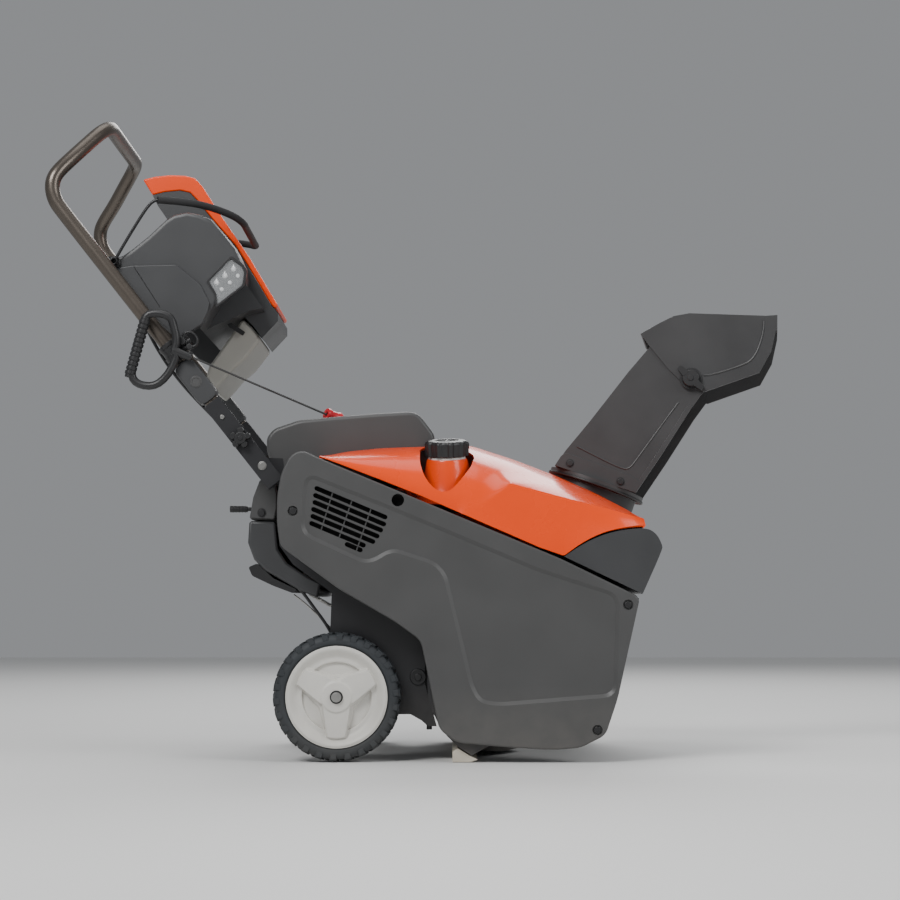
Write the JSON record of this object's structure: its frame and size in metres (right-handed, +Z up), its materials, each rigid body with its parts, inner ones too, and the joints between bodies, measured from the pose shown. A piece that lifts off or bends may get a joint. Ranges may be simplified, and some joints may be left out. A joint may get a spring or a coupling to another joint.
{
  "type": "snow blower",
  "caption": "Walk-behind single-stage snow blower with rubber auger, turning discharge chute, folding loop handle with squeeze bar, recoil start and covered engine.",
  "frame": {"origin": "on the flat underside of the scraper bar, on the machine's middle plane, at ground level", "axes": "+X forward to the auger mouth, +Y to the machine's left, +Z up"},
  "size_m": [1.2136, 0.55, 1.0419],
  "materials": {
    "grey_plastic": "satin moulded",
    "dark_plastic": "satin moulded",
    "black_plastic": "satin moulded",
    "orange_plastic": "glossy",
    "rim_plastic": "satin moulded",
    "tyre_rubber": "matte",
    "paddle_rubber": "matte",
    "black_steel": "satin powder coat",
    "bare_steel": "zinc plated",
    "handle_steel": "satin metallic paint",
    "cast_aluminium": "as cast",
    "beige_plastic": "moulded",
    "red_plastic": "glossy",
    "lens_plastic": "clear moulded",
    "rope_fibre": "braided",
    "belt_rubber": "matte",
    "scraper_plastic": "moulded"
  },
  "bodies": {
    "chassis": {"side_panel_right": "grey_plastic", "side_panel_left": "grey_plastic", "hood": "orange_plastic", "rear_top_cover": "grey_plastic", "front_cap": "dark_plastic", "rear_cover_upper": "grey_plastic", "rear_cover_lower": "dark_plastic", "rear_frame": "black_steel", "axle": "bare_steel", "auger_housing": "black_steel", "scraper_bar": "scraper_plastic", "auger_bearing_right": "bare_steel", "auger_bearing_left": "bare_steel", "engine_block": "cast_aluminium", "cylinder_fins": "cast_aluminium", "recoil_housing": "black_plastic", "muffler": "black_steel", "fuel_tank": "black_plastic", "drive_belt": "belt_rubber", "idler_spring": "bare_steel", "chute_ring": "black_plastic", "handle_bracket_right": "black_steel", "handle_bracket_left": "black_steel", "rope_guide": "red_plastic", "recoil_rope": "rope_fibre"},
    "wheel_right": {"tyre_right": "tyre_rubber", "rim_right": "rim_plastic"},
    "wheel_left": {"tyre_left": "tyre_rubber", "rim_left": "rim_plastic"},
    "auger": {"auger_shaft": "bare_steel", "auger_paddle_a": "paddle_rubber", "auger_paddle_b": "paddle_rubber", "auger_pulley": "bare_steel"},
    "crank": {"crankshaft": "bare_steel", "engine_pulley": "bare_steel"},
    "idler": {"idler_arm": "bare_steel"},
    "chute": {"chute": "dark_plastic"},
    "deflector": {"deflector": "dark_plastic"},
    "deflector_knob_right": {"deflector_knob_right": "black_plastic"},
    "deflector_knob_left": {"deflector_knob_left": "black_plastic"},
    "handle": {"handle_loop": "handle_steel", "bracket_cover_right": "dark_plastic", "bracket_cover_left": "dark_plastic", "console_shell": "dark_plastic", "console_cover": "orange_plastic", "headlight_right": "lens_plastic", "headlight_left": "lens_plastic", "under_shield": "beige_plastic", "rope_holder": "black_plastic", "control_cable": "black_plastic"},
    "bail": {"bail_wire_right": "bare_steel", "bail_wire_left": "bare_steel", "bail_grip": "black_plastic"},
    "fold_knob_right": {"fold_knob_right": "black_plastic"},
    "fold_knob_left": {"fold_knob_left": "black_plastic"},
    "fuel_cap": {"fuel_cap": "black_plastic"},
    "choke": {"choke_knob": "black_plastic"},
    "recoil_handle": {"recoil_handle": "black_plastic"}
  },
  "joints": [
    {"name": "wheel_right_spin", "type": "hinge", "parent": "chassis", "child": "wheel_right", "pos_m": [-0.195, -0.24, 0.1015], "axis": [0, 1, 0], "continuous": true},
    {"name": "wheel_left_spin", "type": "hinge", "parent": "chassis", "child": "wheel_left", "pos_m": [-0.195, 0.24, 0.1015], "axis": [0, 1, 0], "continuous": true},
    {"name": "auger_spin", "type": "hinge", "parent": "chassis", "child": "auger", "pos_m": [0.075, 0, 0.125], "axis": [0, 1, 0], "continuous": true},
    {"name": "crank_spin", "type": "hinge", "parent": "chassis", "child": "crank", "pos_m": [-0.105, 0, 0.318], "axis": [0, 1, 0], "continuous": true},
    {"name": "idler_swing", "type": "hinge", "parent": "chassis", "child": "idler", "pos_m": [0.072, 0.241, 0.262], "axis": [0, -1, 0], "range_deg": [0, 1.7], "deforming": ["idler_spring"]},
    {"name": "chute_turn", "type": "hinge", "parent": "chassis", "child": "chute", "pos_m": [0.2295, 0, 0.442], "axis": [0.3338, 0, 0.9426], "range_deg": [-86, 104]},
    {"name": "deflector_tilt", "type": "hinge", "parent": "chute", "child": "deflector", "pos_m": [0.39438, -0.01539, 0.61647], "axis": [0.1475, 0.9877, -0.0522], "range_deg": [0, 65]},
    {"name": "deflector_knob_right_turn", "type": "hinge", "parent": "deflector", "child": "deflector_knob_right", "pos_m": [0.38269, -0.09372, 0.62061], "axis": [0.1475, 0.9877, -0.0522], "range_deg": [0, 360]},
    {"name": "deflector_knob_left_turn", "type": "hinge", "parent": "deflector", "child": "deflector_knob_left", "pos_m": [0.40608, 0.06293, 0.61233], "axis": [0.1475, 0.9877, -0.0522], "range_deg": [0, 360]},
    {"name": "handle_fold", "type": "hinge", "parent": "chassis", "child": "handle", "pos_m": [-0.314, 0, 0.4653], "axis": [0, 1, 0], "range_deg": [0, 50]},
    {"name": "bail_squeeze", "type": "hinge", "parent": "handle", "child": "bail", "pos_m": [-0.557, 0, 0.796], "axis": [0, -1, 0], "range_deg": [0, 55], "stiffness_Nm_per_rad": 1.5, "springref_deg": -40.11},
    {"name": "fold_knob_right_turn", "type": "hinge", "parent": "chassis", "child": "fold_knob_right", "pos_m": [-0.34816, -0.265, 0.5084], "axis": [0, 1, 0], "range_deg": [0, 360]},
    {"name": "fold_knob_left_turn", "type": "hinge", "parent": "chassis", "child": "fold_knob_left", "pos_m": [-0.34816, 0.265, 0.5084], "axis": [0, 1, 0], "range_deg": [0, 360]},
    {"name": "fuel_cap_turn", "type": "hinge", "parent": "chassis", "child": "fuel_cap", "pos_m": [-0.0217, -0.20295, 0.48148], "axis": [-0.02, -0.17, 0.9852], "range_deg": [0, 120]},
    {"name": "choke_pull", "type": "slide", "parent": "chassis", "child": "choke", "axis": [-1, 0, 0], "range_m": [0, 0.015]},
    {"name": "recoil_pull", "type": "slide", "parent": "chassis", "child": "recoil_handle", "axis": [-0.7709, -0.569, 0.2863], "range_m": [0, 0.45], "stiffness_N_per_m": 40, "springref_m": -0.25, "deforming": ["recoil_rope"]}
  ],
  "couplings": [
    {"joint": "crank_spin", "follows": "auger_spin", "ratio": 2.5152},
    {"joint": "idler_swing", "follows": "bail_squeeze", "ratio": 0.03}
  ]
}
